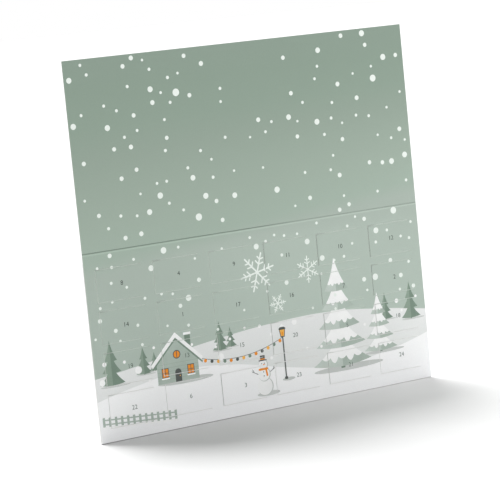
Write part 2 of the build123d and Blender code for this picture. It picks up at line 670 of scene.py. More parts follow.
@dataclass(frozen=True)
class PrintedCard:
    """Card whose printed side has a sky and hills of snow, and whose back and edges are bare.

    Attributes:
        sky: The sky's colours by their share of the sheet's height.
        tilt: How far the sky's colours climb to the right, as a share of the way across. It fades
            out from the crease to the top.
        glow: How much lighter the sky is painted on the lower leaf, as a share: a painted sheen.
        glow_middle: Where across the sheet the painted sheen is lightest.
        glow_reach: How far to either side the painted sheen reaches.
        glow_fade: How far below the crease and above it the painted sheen ends.
        hills: The hills, from the furthest to the nearest.
        marks: The pale fibres and relief of the cuts, and the painted shade and highlights of the cuts
            and the crease.
        mottle: How much the print's tone varies, as a share.
        spot_size: The size of its spots in millimetres.
        roughness: How matt the print is.
        shine: How much it mirrors.
        bare: The card's unprinted side.
        grain: The printed side's grain.
    """

    sky: tuple[tuple[float, Colour], ...] = (
        (0.2, (171, 185, 175)),
        (0.48, (165, 178, 168)),
        (0.52, (158, 175, 162)),
        (0.606, (154, 170, 157)),
        (0.682, (149, 165, 152)),
        (0.758, (143, 159, 146)),
        (0.833, (137, 155, 141)),
        (0.92, (134, 152, 138)),
        (1.0, (134, 151, 138)),
    )
    tilt: float = 0.09
    glow: float = 0.1
    glow_middle: float = 20.0
    glow_reach: float = 115.0
    glow_fade: Point = (-12.0, 4.0)
    hills: tuple[SnowHill, ...] = (
        SnowHill(
            crest=((-105, 34), (-72, 38), (-35, 43), (5, 46.5), (42, 47), (76, 43.5), (105, 39)),
            crest_colour=(228, 230, 229),
            foot_colour=(224, 227, 225),
            depth=24.0,
        ),
        SnowHill(
            crest=(
                (-105, 22), (-80, 27), (-50, 30.5), (-20, 28),
                (10, 21.5), (42, 17), (72, 19), (105, 26),
            ),
            crest_colour=(246, 247, 247),
            foot_colour=(244, 245, 246),
            depth=26.0,
        ),
    )
    marks: CutMarks = CutMarks()
    mottle: float = 0.02
    spot_size: float = 0.5
    roughness: float = 0.62
    shine: float = 0.35
    bare: BareCard = BareCard()
    grain: Grain = Grain()

    def material(self, name: str, sheet: "Sheet") -> bpy.types.Material:
        """Makes the material.

        Args:
            name: The material's name.
            sheet: The sheet's layout.

        Returns:
            The material.
        """
        finish = Finish(name)
        colour = self.print_sky(finish, sheet)
        for hill in self.hills:
            colour = hill.cover(finish, sheet, colour)
        colour, height = self.marks.apply(finish, sheet, colour)
        tone = finish.vary(finish.noise(self.spot_size, 3.0), 0.25, 1.0, self.mottle)
        printed = self.printed_side(finish, sheet)
        colour = finish.mix(printed, self.bare.pulp(finish), finish.scale(colour, tone))
        # The fold along the lower edge gets painted shade.
        colour = self.bare.fold.rub(finish, colour)
        roughness = finish.span(printed, 0.0, 1.0, self.bare.roughness, self.roughness)
        relief = finish.bump(height, self.marks.press_relief, Normal=self.grain.relief(finish))
        return finish.close(colour, roughness, relief, self.shine)

    def print_sky(self, finish: Finish, sheet: "Sheet") -> Socket:
        """Prints the sky, with a painted sheen over the lower leaf.

        Args:
            finish: The material.
            sheet: The sheet's layout.

        Returns:
            The sky's colour.
        """
        x, z = finish.at["X"], finish.at["Z"]
        lean = finish.span(z, sheet.crease, sheet.top, -self.tilt, 0.0)
        tilted = finish.sum("MULTIPLY_ADD", x, lean, z)
        # Painted sheen: the sky is lighter over the middle of the lower leaf.
        aside = finish.sum("ABSOLUTE", finish.sum("SUBTRACT", x, self.glow_middle))
        glow = finish.span(aside, 0.0, self.glow_reach, self.glow, 0.0)
        low = finish.span(z, *(sheet.crease + place for place in self.glow_fade), 1.0, 0.0)
        colour = finish.ramp(finish.sum("DIVIDE", tilted, sheet.top), self.sky)
        return finish.scale(colour, finish.sum("MULTIPLY_ADD", glow, low, 1.0))

    def printed_side(self, finish: Finish, sheet: "Sheet") -> Socket:
        """Finds the printed face, with its rolled edges and its crease, and not the card's cut edges.

        Args:
            finish: The material.
            sheet: The sheet's layout.

        Returns:
            1 on the printed side and 0 elsewhere.
        """
        facing = finish.add("ShaderNodeSeparateXYZ", {0: finish.coordinates["Normal"]}).outputs["Y"]
        near_front = finish.sum("LESS_THAN", finish.at["Y"], sheet.face + sheet.print_reach)
        return finish.sum("MULTIPLY", finish.sum("LESS_THAN", facing, -0.5), near_front)


@dataclass(frozen=True)
class GlueFinish:
    """The dried film of glue between the two panels, paler where it is thin.

    It lies in streaks, whose size and relief are in millimetres. Its roughness varies by its spread.
    """

    colour: Colour = (222, 217, 202)
    thin_colour: Colour = (236, 233, 224)
    streak_size: float = 2.4
    streak_relief: float = 0.01
    roughness: float = 0.4
    spread: float = 0.1
    shine: float = 0.5

    def material(self, name: str) -> bpy.types.Material:
        """Makes the material.

        Args:
            name: The material's name.

        Returns:
            The material.
        """
        finish = Finish(name)
        streaks = finish.noise(self.streak_size, 3.0, (0.25, 1, 1))
        colour = finish.mix(finish.span(streaks, 0.35, 0.65), self.colour, self.thin_colour)
        roughness = finish.vary(streaks, 0.3, self.roughness, self.spread)
        return finish.close(colour, roughness, finish.bump(streaks, self.streak_relief), self.shine)


# The sheet and its doors


@dataclass(frozen=True)
class Door:
    """A door on the sheet and the edges of its card. It is hinged at the right.

    Its label is the number that its piece's name has.
    """

    label: str
    left: float
    right: float
    bottom: float
    top: float

    @property
    def piece(self) -> str:
        """The name of the door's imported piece, which is also its body's."""
        return f"door_{self.label}"

    @property
    def middle(self) -> Point:
        """The middle of the door."""
        return ((self.left + self.right) / 2, (self.bottom + self.top) / 2)

    def outline(self, beyond: float, beyond_hinge: float) -> Outline:
        """Draws a rectangle that lies so far outside the three cut edges and outside the hinge."""
        right = self.right + beyond_hinge
        return rectangle(self.left - beyond, self.bottom - beyond, right, self.top + beyond)


@dataclass(frozen=True)
class Sheet:
    """The opened sheet's layout in millimetres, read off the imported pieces.

    Attributes:
        half_width: Half the sheet's width.
        crease: The height of the crease.
        fold: The height where the lower edge starts to turn back.
        top: The height of the sheet.
        face: The printed face's place from front to back.
        picture_face: The place of the face that carries the pictures.
        doors: The doors.
        nick_reach: How far a door's nicks stand out of its cut edges.
        slit: The width of the cut round a door.
        edge_roll: How far the card's face is rolled over along a cut.
        crease_half_width: Half the width of the crease's groove.
        print_reach: How deep the print goes into the crease and round the rolled edges.
        print_blur: Half the width of a printed edge.
        film: The thickness of a film of ink.
        film_margin: How far a film stays back from an edge or a fold.
        film_slope: How steeply a film thins out towards a hinge, where the card bends over it. It is
            a little less than half of the angle that a door's limit leaves open.
        hinge_room: How far above and below a hinge it thins out too.
    """

    half_width: float
    crease: float
    fold: float
    top: float
    face: float
    picture_face: float
    doors: tuple[Door, ...]
    nick_reach: float = 0.12
    slit: float = 0.16
    edge_roll: float = 0.07
    crease_half_width: float = 0.4
    print_reach: float = 0.18
    print_blur: float = 0.07
    film: float = 0.01
    film_margin: float = 0.03
    film_slope: float = 0.083
    hinge_room: float = 1.0

    @property
    def columns(self) -> list[float]:
        """The middles of the columns of doors, from the left."""
        return sorted({round(door.middle[0], 3) for door in self.doors})

    @property
    def rows(self) -> list[float]:
        """The middles of the rows of doors, from the lowest."""
        return sorted({round(door.middle[1], 3) for door in self.doors})

    def film_height(self, x: float, z: float) -> float:
        """Gives a film's height over the card, which thins out at a hinge.

        Args:
            x: The place across the sheet.
            z: The place up the sheet.

        Returns:
            The height.
        """
        room = self.hinge_room
        level = (door for door in self.doors if door.bottom - room < z < door.top + room)
        to_hinge = min((abs(x - door.right) for door in level), default=self.half_width)
        return min(self.film, self.film_slope * to_hinge)

    @classmethod
    def measured(cls) -> "Sheet":
        """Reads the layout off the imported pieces.

        Returns:
            The layout.
        """
        leaf_low, leaf_high = (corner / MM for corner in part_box("upper_leaf"))
        panel_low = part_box("door_panel")[0] / MM
        glue_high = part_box("glue_film")[1] / MM
        doors = []
        for name in sorted(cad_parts):
            if name.startswith("door_") and name != "door_panel":
                low, high = (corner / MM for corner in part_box(name))
                reach = cls.nick_reach
                label = name.removeprefix("door_")
                doors.append(Door(label, low.x + reach, high.x, low.z + reach, high.z - reach))
        return cls(
            half_width=leaf_high.x,
            crease=leaf_low.z,
            fold=panel_low.z,
            top=leaf_high.z,
            face=leaf_low.y,
            picture_face=glue_high.y,
            doors=tuple(doors),
        )


@dataclass(frozen=True)
class Shape:
    """An area of one ink, with the points round it."""

    ink: Ink
    outline: Outline


# Motifs of the artwork. Each stands at its x across the sheet and, on the snow, at its foot's height.


@dataclass(frozen=True)
class Fir:
    """A fir of several tiers, lit from the left, with or without snow on its boughs.

    Attributes:
        half_width: Half the width of its lowest tier.
        tiers: The number of its tiers.
        needles: The ink of its lit side.
        shade: The ink of its shaded side.
        snowy: Whether snow lies on it.
        trunk: The height of its bare trunk, as a share of its own.
        overlap: How much of a tier the next one covers.
        taper: How much narrower the tiers get towards the top.
        droop: How far a tier's hem hangs down, as a share of half its width.
        capped: How many points of a tier's side the snow reaches down.
        scallops: The number of scallops along the snow's edge.
    """

    x: float
    foot: float
    height: float
    half_width: float
    tiers: int = 3
    needles: Ink = Ink.FIR
    shade: Ink = Ink.FIR_SHADE
    snowy: bool = False
    trunk: float = 0.05
    overlap: float = 0.75
    taper: float = 0.74
    droop: float = 0.22
    capped: int = 7
    scallops: int = 5

    def shapes(self) -> Iterator[Shape]:
        """Draws the fir.

        Yields:
            Its shapes, from its shadow on the snow to its top.
        """
        x, half = self.x, self.half_width
        yield Shape(Ink.MIST, oval(x + half * 0.2, self.foot, half * 1.2, self.height * 0.028))
        trunk = self.height * self.trunk
        yield Shape(Ink.FIR_SHADE, block(x, half * 0.07, self.foot, self.foot + 2 * trunk))
        rise = (self.height - trunk) / (self.tiers + self.overlap)
        for tier in range(self.tiers):
            base, narrower = self.foot + trunk + tier * rise, 1 - self.taper * tier / self.tiers
            yield from self.tier(base, half * narrower, (1 + self.overlap) * rise)

    def side(self, base: float, reach: float, tall: float) -> Outline:
        """Draws one side of a tier from its top to its tip. The reach is negative to the left."""
        knee = (self.x + reach * 0.34, base + tall * 0.36)
        return bow((self.x, base + tall), knee, (self.x + reach, base), 8)

    def tier(self, base: float, half: float, tall: float) -> Iterator[Shape]:
        """Draws one tier.

        Args:
            base: The height of its tips.
            half: Half its width.
            tall: The height from its tips to its top.

        Yields:
            The tier's shapes.
        """
        left, right = self.side(base, -half, tall), self.side(base, half, tall)
        hem = bow(right[-1], (self.x, base - half * self.droop), left[-1], 10)
        yield Shape(self.needles, left + hem[-2:0:-1] + right[:0:-1])
        yield Shape(self.shade, right + hem[1 : len(hem) // 2 + 1])
        if self.snowy:
            yield Shape(Ink.SNOW, self.snow_cap(left[: self.capped], right[: self.capped]))

    def snow_cap(self, left: Outline, right: Outline) -> Outline:
        """Draws the snow on top of a tier, with a scalloped lower edge.

        Args:
            left: The tier's left side down to where the snow ends.
            right: The same on the right.

        Returns:
            The snow's outline.
        """
        edge = []
        for scallop in range(self.scallops):
            shares = (scallop / self.scallops, (scallop + 1) / self.scallops)
            start, end = (along(right[-1], left[-1], share) for share in shares)
            sag = (end[0] - start[0]) * (0.5 + 0.7 * (scallop % 2))
            edge += bow(start, (along(start, end, 0.5)[0], start[1] + sag), end, 5)[:-1]
        return left[:0:-1] + right + edge[1:]


@dataclass(frozen=True)
class Cottage:
    """A gabled cottage with lit windows and snow on its roof.

    Its gable is measured from the top of its walls, its overhang is how far its roof reaches past
    them, and its snow is the thickness on the roof.
    """

    x: float
    foot: float
    half_width: float = 12.5
    wall: float = 11.0
    gable: float = 12.0
    boards: int = 5
    overhang: float = 2.6
    snow: float = 2.6

    def shapes(self) -> Iterator[Shape]:
        """Draws the cottage.

        Yields:
            Its shapes, from its shadow on the snow to its windows.
        """
        x, foot, half = self.x, self.foot, self.half_width
        eaves = foot + self.wall
        ridge = eaves + self.gable
        yield Shape(Ink.MIST, oval(x + 4, foot, half * 1.35, 1.6))
        chimney = x + half * 0.45 + 1.7
        yield Shape(Ink.FIR_SHADE, block(chimney, 1.7, ridge - 7, ridge + 0.8))
        yield Shape(Ink.SNOW, block(chimney, 2.2, ridge + 0.8, ridge + 2.1))
        wall = block(x, half, foot, eaves)
        yield Shape(Ink.PALE_SHADE, [*wall[:3], (x, ridge), wall[3]])
        for board in range(self.boards):
            height = foot + (board + 1) * self.wall / (self.boards + 0.5)
            yield Shape(Ink.SAGE, block(x, half, height, height + 0.22))
        yield from self.roof(eaves, ridge)
        yield from self.door(1.9, 5.0)
        for way in (-1, 1):
            yield from self.window(x + way * half * 0.62, foot + self.wall * 0.5)
        yield Shape(Ink.CHARCOAL, disc(x, eaves + 3.4, 2.3))
        yield Shape(Ink.ORANGE, disc(x, eaves + 3.4, 1.8))
        yield Shape(Ink.CHARCOAL, block(x, 0.2, eaves + 1.6, eaves + 5.2))

    def roof(self, eaves: float, ridge: float) -> Iterator[Shape]:
        """Draws the roof.

        Args:
            eaves: The height of the top of the walls.
            ridge: The height of the ridge.

        Yields:
            The boards and the snow on them.
        """
        x, reach = self.x, self.half_width + self.overhang
        low_end = eaves - self.overhang * self.gable / self.half_width
        for ink, low, high in ((Ink.FIR_SHADE, -0.9, 0.4), (Ink.SNOW, 0.3, self.snow)):
            lower = [(x - reach, low_end + low), (x, ridge + low), (x + reach, low_end + low)]
            tip = reach + 0.3
            upper = [(x + tip, low_end + high), (x, ridge + high + 0.5), (x - tip, low_end + high)]
            yield Shape(ink, lower + upper)

    def door(self, half: float, height: float) -> Iterator[Shape]:
        """Draws the arched front door and its knob.

        Args:
            half: Half the door's width.
            height: The height where its arch starts.

        Yields:
            The door and its knob.
        """
        arch = arc(self.x, self.foot + height, half, 0, 180, 10)
        yield Shape(Ink.CHARCOAL, [(self.x - half, self.foot), (self.x + half, self.foot), *arch])
        yield Shape(Ink.AMBER, disc(self.x + half * 0.5, self.foot + height * 0.6, 0.3))

    def window(self, x: float, z: float) -> Iterator[Shape]:
        """Draws a lit window.

        Args:
            x: Its middle's place across the sheet.
            z: Its middle's height.

        Yields:
            Its frame, light, bars and snowy sill.
        """
        half, tall, rim, bar = 2.1, 2.6, 0.4, 0.16
        panes = ((Ink.CHARCOAL, half, tall), (Ink.ORANGE, half - rim, tall - rim))
        bars = ((Ink.CHARCOAL, bar, tall), (Ink.CHARCOAL, half, bar))
        for ink, across, upward in panes + bars:
            yield Shape(ink, block(x, across, z - upward, z + upward))
        sill = z - tall - 0.3
        yield Shape(Ink.SNOW, stroke((x - half, sill), (x + half, sill), 0.8))


@dataclass(frozen=True)
class Snowman:
    """A snowman of three balls with a hat and a scarf. Its size is the lowest ball's radius."""

    x: float
    foot: float
    size: float = 4.8

    def shapes(self) -> Iterator[Shape]:
        """Draws the snowman.

        Yields:
            Its shapes, from its shadow on the snow to its hat.
        """
        x, size = self.x, self.size
        yield Shape(Ink.MIST, oval(x + 2, self.foot + 0.3, size * 1.5, 1.3))
        belly, chest, head = (self.foot + size * share for share in (0.92, 2.3, 3.4))
        for way in (-1, 1):
            shoulder, hand = (x + way * size * 0.6, chest), (x + way * size * 1.5, chest + size * 0.5)
            yield Shape(Ink.CHARCOAL, stroke(shoulder, hand, 0.35))
            thumb = (hand[0] - way * 0.4, hand[1] + 1.0)
            yield Shape(Ink.CHARCOAL, stroke(along(shoulder, hand, 0.7), thumb, 0.3))
        for height, share in ((belly, 1.0), (chest, 0.76), (head, 0.54)):
            yield Shape(Ink.MIST, disc(x + 0.35, height - 0.15, size * share + 0.2))
            yield Shape(Ink.SNOW, disc(x, height, size * share - 0.1))
        collar = (chest + head) / 2 + 0.1
        yield Shape(Ink.ORANGE, stroke((x - size * 0.5, collar), (x + size * 0.5, collar), 1.2))
        yield Shape(Ink.ORANGE, stroke((x + size * 0.34, collar), (x + size * 0.44, collar - 3.6), 1.1))
        for button in (0.25, -0.2):
            yield Shape(Ink.CHARCOAL, disc(x, chest + size * button, 0.34))
        for eye in (-0.17, 0.2):
            yield Shape(Ink.CHARCOAL, disc(x + size * eye, head + 0.5, 0.26))
        yield Shape(Ink.ORANGE, [(x, head - 0.4), (x + 1.9, head - 0.2), (x, head + 0.25)])
        brim = head + size * 0.46
        yield Shape(Ink.CHARCOAL, stroke((x - 2.3, brim), (x + 2.3, brim), 0.6))
        yield Shape(Ink.CHARCOAL, block(x, 1.5, brim, brim + 2.7))
        yield Shape(Ink.ORANGE, block(x, 1.5, brim + 0.4, brim + 1.0))


@dataclass(frozen=True)
class Lantern:
    """A lantern on a post. Its height is the post's."""

    x: float
    foot: float
    height: float = 23.0

    def shapes(self) -> Iterator[Shape]:
        """Draws the lantern.

        Yields:
            Its shapes, from its shadow on the snow to its cap of snow.
        """
        x, foot, top = self.x, self.foot, self.foot + self.height
        yield Shape(Ink.MIST, oval(x + 1.5, foot, 4.0, 0.9))
        yield Shape(Ink.CHARCOAL, block(x, 0.4, foot, top))
        yield Shape(Ink.CHARCOAL, block(x, 1.0, foot, foot + 1.4))
        yield Shape(Ink.CHARCOAL, block(x, 1.3, top, top + 4.4, 2.0))
        yield Shape(Ink.AMBER, block(x, 0.9, top + 0.5, top + 4.0, 1.5))
        yield Shape(Ink.ORANGE, oval(x, top + 1.9, 0.55, 1.1))
        yield Shape(Ink.CHARCOAL, [(x - 2.5, top + 4.4), (x + 2.5, top + 4.4), (x, top + 6.6)])
        yield Shape(Ink.SNOW, block(x, 1.6, top + 5.5, top + 7.1, 0.2))


@dataclass(frozen=True)
class LightString:
    """A string of small round lamps that hangs between two points.

    Its sag is how far its middle hangs below the line between them, and its drop how far a lamp's
    middle hangs below the wire.
    """

    start: Point
    end: Point
    sag: float
    lamps: int
    drop: float = 0.9
    radius: float = 0.95
    wire_width: float = 0.28
    wire_pieces: int = 18
    inks: tuple[Ink, ...] = (Ink.ORANGE, Ink.CHARCOAL, Ink.AMBER, Ink.FIR_SHADE)

    def hang(self, share: float) -> Point:
        """Gives the wire's point at a share of the way along it."""
        x, z = along(self.start, self.end, share)
        return (x, z - 4 * self.sag * share * (1 - share))

    def shapes(self) -> Iterator[Shape]:
        """Draws the string.

        Yields:
            The wire's pieces and then the lamps.
        """
        points = [self.hang(step / self.wire_pieces) for step in range(self.wire_pieces + 1)]
        for start, end in zip(points, points[1:]):
            yield Shape(Ink.CHARCOAL, stroke(start, end, self.wire_width))
        for lamp in range(self.lamps):
            x, z = self.hang((lamp + 0.5) / self.lamps)
            yield Shape(self.inks[lamp % len(self.inks)], disc(x, z - self.drop, self.radius))


@dataclass(frozen=True)
class Flake:
    """A six-armed snow crystal drawn in thin strokes.

    Its radius is an arm's length. Its turn and its twigs' angle from the arm are in degrees. Its
    line is the width of a stroke, and its twigs are the place and the length of each pair of them,
    as shares of an arm.
    """

    x: float
    z: float
    radius: float
    turn: float = 0.0
    ink: Ink = Ink.FLAKES
    line: float = 0.085
    least_width: float = 0.55
    twigs: tuple[Point, ...] = ((0.42, 0.26), (0.68, 0.2))
    twig_angle: float = 58.0
    twig_width: float = 0.85

    def shapes(self) -> Iterator[Shape]:
        """Draws the crystal.

        Yields:
            Its strokes.
        """
        centre, width = (self.x, self.z), max(self.least_width, self.radius * self.line)
        for heading in (self.turn + 60 * arm for arm in range(6)):
            tip = away(centre, heading, self.radius)
            yield Shape(self.ink, stroke(centre, tip, width))
            for share, length in self.twigs:
                knot = along(centre, tip, share)
                for aside in (-self.twig_angle, self.twig_angle):
                    twig = away(knot, heading + aside, self.radius * length)
                    yield Shape(self.ink, stroke(knot, twig, width * self.twig_width))


@dataclass(frozen=True)
class Fence:
    """A low picket fence that follows the ground from its first picket to its last.

    Its rails' heights are shares of its own.
    """

    start: Point
    end: Point
    pickets: int
    height: float = 6.0
    rails: Point = (0.3, 0.68)
    half_picket: float = 0.7

    def shapes(self) -> Iterator[Shape]:
        """Draws the fence.

        Yields:
            Its rails, and then its pickets with their snow.
        """
        for rail in self.rails:
            start, end = ((x, z + self.height * rail) for x, z in (self.start, self.end))
            yield Shape(Ink.PALE_SHADE, stroke(start, end, 0.7))
        for picket in range(self.pickets):
            x, z = along(self.start, self.end, picket / (self.pickets - 1))
            tip = z + self.height
            post = block(x, self.half_picket, z, tip - 0.8)
            yield Shape(Ink.PALE_SHADE, [*post[:3], (x, tip), post[3]])
            for half, height, width in ((0.35, tip - 0.25, 0.75), (0.9, z + 0.1, 0.9)):
                yield Shape(Ink.SNOW, stroke((x - half, height), (x + half, height), width))


@dataclass(frozen=True)
class Snowfall:
    """Falling snow: round spots strewn over a band of the sheet.

    Attributes:
        bottom: The lowest height that it reaches.
        top: The highest.
        spots: The number of spots.
        spacing: The least distance from one spot's middle to the next.
        seed: The seed of its random places.
        ink: The spots' ink.
        side_room: How far the spots' middles keep off the sheet's sides.
        sizes: The least and greatest radius of each kind of spot, and how common it is.
    """

    bottom: float
    top: float
    spots: int
    spacing: float
    seed: int
    ink: Ink = Ink.FLAKES
    side_room: float = 2.6
    sizes: tuple[tuple[float, float, float], ...] = (
        (0.7, 0.9, 0.54),
        (1.1, 1.3, 0.2),
        (1.45, 1.7, 0.2),
        (1.8, 2.0, 0.06),
    )

    def shapes(self, sheet: Sheet, clear: Iterable[tuple[Point, float]]) -> Iterator[Shape]:
        """Strews the spots.

        Args:
            sheet: The sheet's layout.
            clear: Places that the snow keeps off, each with its radius.

        Yields:
            The spots.
        """
        draw = random.Random(self.seed)
        weights = [weight for _, _, weight in self.sizes]
        taken = [(x, z, radius) for (x, z), radius in clear]
        placed = 0
        while placed < self.spots:
            least, greatest, _ = draw.choices(self.sizes, weights)[0]
            radius = draw.uniform(least, greatest)
            x = draw.uniform(-1, 1) * (sheet.half_width - self.side_room)
            z = draw.uniform(self.bottom, self.top)
            if any(math.hypot(x - a, z - b) < radius + room for a, b, room in taken):
                continue
            taken.append((x, z, self.spacing - radius))
            placed += 1
            yield Shape(self.ink, disc(x, z, radius))


# Pictures behind the doors, each about its own middle


def star() -> list[Shape]:
    """Draws a five-pointed star."""
    tips = [away((0, 0.2), 90 + 36 * corner, 2.4 if corner % 2 else 5.6) for corner in range(10)]
    return [Shape(Ink.AMBER, tips)]


def heart() -> list[Shape]:
    """Draws a heart by its well-known curve.

    Returns:
        Its one shape.
    """
    size, steps, outline = 0.34, 36, []
    for turn in (math.tau * step / steps for step in range(steps)):
        waves = ((13, 1), (-5, 2), (-2, 3), (-1, 4))
        height = sum(part * math.cos(number * turn) for part, number in waves)
        outline.append((size * 16 * math.sin(turn) ** 3, size * height + 0.8))
    return [Shape(Ink.ORANGE, outline)]


def gift() -> list[Shape]:
    """Draws a wrapped gift.

    Returns:
        Its box, lid, ribbon and bow.
    """
    return [
        Shape(Ink.FIR, block(0, 4.6, -5.0, 2.8)),
        Shape(Ink.FIR_SHADE, block(0, 5.0, 1.2, 3.2)),
        Shape(Ink.ORANGE, block(0, 0.8, -5.0, 3.2)),
        *(Shape(Ink.ORANGE, stroke((0, 3.0), (way * 2.4, 4.6), 1.5)) for way in (-1, 1)),
    ]


def candle() -> list[Shape]:
    """Draws a burning candle.

    Returns:
        Its saucer, wax, wick and flame.
    """
    flame = bow((0, 1.6), (2.2, 2.6), (0, 6.2), 7) + bow((0, 6.2), (-2.2, 2.6), (0, 1.6), 7)[1:-1]
    return [
        Shape(Ink.CHARCOAL, oval(0, -4.8, 4.2, 0.9)),
        Shape(Ink.SNOW, block(0, 1.5, -4.7, 1.0)),
        Shape(Ink.CHARCOAL, block(0, 0.15, 1.0, 2.2)),
        Shape(Ink.AMBER, flame),
    ]


def bell() -> list[Shape]:
    """Draws a bell.

    Returns:
        Its clapper, loop, body and rim.
    """
    right = bow((4.8, -3.2), (2.6, -1.6), (2.8, 1.2), 6) + arc(0, 1.6, 2.8, 0, 90, 8)
    left = [(-x, z) for x, z in reversed(right)]
    return [
        Shape(Ink.CHARCOAL, disc(0, -4.1, 1.1)),
        Shape(Ink.CHARCOAL, disc(0, 4.8, 0.8)),
        Shape(Ink.AMBER, right + left[1:]),
        Shape(Ink.ORANGE, stroke((-4.6, -3.3), (4.6, -3.3), 1.0)),
    ]


def moon() -> list[Shape]:
    """Draws a crescent moon."""
    outer = arc(0, 0, 5.2, 55, 250, 24)
    return [Shape(Ink.SNOW, outer + bow(outer[-1], (-1.4, -0.2), outer[0], 12)[1:-1])]


class Picture(Enum):
    """The pictures behind the doors: the ink of each one's ground, and what draws its motif."""

    STAR = (Ink.FIR, star)
    HEART = (Ink.PALE, heart)
    GIFT = (Ink.SNOW, gift)
    CANDLE = (Ink.SAGE, candle)
    BELL = (Ink.MIST, bell)
    CRYSTAL = (Ink.FIR_SHADE, Flake(0, 0, 5.8, turn=30).shapes)
    FIR = (Ink.AMBER, Fir(0, -6.0, 12.5, 4.4, snowy=True).shapes)
    MOON = (Ink.CHARCOAL, moon)

    def shapes(self, door: Door, beyond: float) -> Iterator[Shape]:
        """Draws the picture behind a door.

        Args:
            door: The door.
            beyond: How far the picture's ground reaches past the door.

        Yields:
            The picture's shapes.
        """
        ground, motif = self.value
        x, z = door.middle
        yield Shape(ground, door.outline(beyond, beyond))
        for shape in motif():
            yield Shape(shape.ink, [(x + a, z + b) for a, b in shape.outline])


# Films of ink


@dataclass(frozen=True)
class Patch:
    """A part of the sheet and the name of its film, which is empty where it stays unprinted."""

    film: str
    outline: Outline


class InkBox(dict):
    """The inks' materials, each made when it is first used."""

    def __missing__(self, ink: Ink) -> bpy.types.Material:
        """Makes an ink's material."""
        self[ink] = ink.value.material(f"{ink.name.lower()}_ink")
        return self[ink]


@dataclass
class InkFilm:
    """A flat film of ink on one face of the card, in several inks side by side.

    Where printed areas overlap, the last one hides the others, and the film is split along all their
    outlines. So it is one thin closed sheet, with no area over another.

    Attributes:
        name: The film's piece name.
        body: The body that it moves with.
        slot: The record's material slot. It is not used.
        face: The place of the card's face that it lies on, from front to back.
        sheet: The sheet's layout.
        corners: The corners of its triangles on the sheet.
        triangles: Each triangle's corners and its ink.
    """

    name: str
    body: str
    slot: str
    face: float
    sheet: Sheet
    corners: Outline = field(default_factory=list)
    triangles: list[tuple[list[int], Ink]] = field(default_factory=list)

    def lay(self, inks: InkBox) -> None:
        """Lays the film on the card.

        Args:
            inks: The inks' materials.
        """
        used = sorted({corner for triangle, _ in self.triangles for corner in triangle})
        order = {corner: place for place, corner in enumerate(used)}
        thickness = self.sheet.film
        front = (self.face - thickness) * MM
        points = [(x * MM, front, z * MM) for x, z in (self.corners[corner] for corner in used)]
        faces = [[order[corner] for corner in triangle] for triangle, _ in self.triangles]
        mesh = bpy.data.meshes.new(self.name)
        mesh.from_pydata(points, [], faces)
        slots = sorted({ink for _, ink in self.triangles}, key=list(Ink).index)
        for ink in slots:
            mesh.materials.append(inks[ink])
        for polygon, (_, ink) in zip(mesh.polygons, self.triangles):
            polygon.material_index = slots.index(ink)
        film = bpy.data.objects.new(self.name, mesh)
        bpy.context.scene.collection.objects.link(film)
        bpy.ops.object.select_all(action="DESELECT")
        film.select_set(True)
        bpy.context.view_layer.objects.active = film
        bpy.ops.object.modifier_add(type="SOLIDIFY")
        film.modifiers[0].thickness = thickness * MM
        film.modifiers[0].offset = -1.0
        bpy.ops.object.modifier_apply(modifier=film.modifiers[0].name)
        for vertex in film.data.vertices:
            x, y, z = vertex.co / MM
            if y < self.face - thickness / 2:
                vertex.co.y = (self.face - self.sheet.film_height(x, z)) * MM
        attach(film, self.body)
        count = len(mesh.polygons)
        log.info("%s: %d faces in %d inks, rides on %s", self.name, count, len(slots), self.body)


def press(shapes: Iterable[Shape], patches: list[Patch], films: Iterable[InkFilm]) -> None:
    """Splits printed areas along each other's outlines and gives each film its triangles.

    Args:
        shapes: The printed areas, each over the ones before it.
        patches: The parts of the sheet, each over the ones before it.
        films: The films that the patches name.
    """
    inside_only, tolerance = 1, 1e-4
    corners: list[Vector] = []
    faces: list[list[int]] = []
    parts = [*patches, *shapes]
    for outline in (part.outline for part in parts):
        turned = outline if signed_area(outline) > 0 else outline[::-1]
        faces.append(list(range(len(corners), len(corners) + len(turned))))
        corners += [Vector(point) for point in turned]
    corners, _, triangles, _, _, owners = delaunay_2d_cdt(corners, [], faces, inside_only, tolerance)
    by_name = {film.name: film for film in films}
    for film in by_name.values():
        film.corners = [(corner.x, corner.y) for corner in corners]
    for triangle, faces_here in zip(triangles, owners):
        patch = max((face for face in faces_here if face < len(patches)), default=None)
        area = max(faces_here, default=-1)
        if patch is not None and area >= len(patches) and patches[patch].film:
            by_name[patches[patch].film].triangles.append((list(triangle), parts[area].ink))


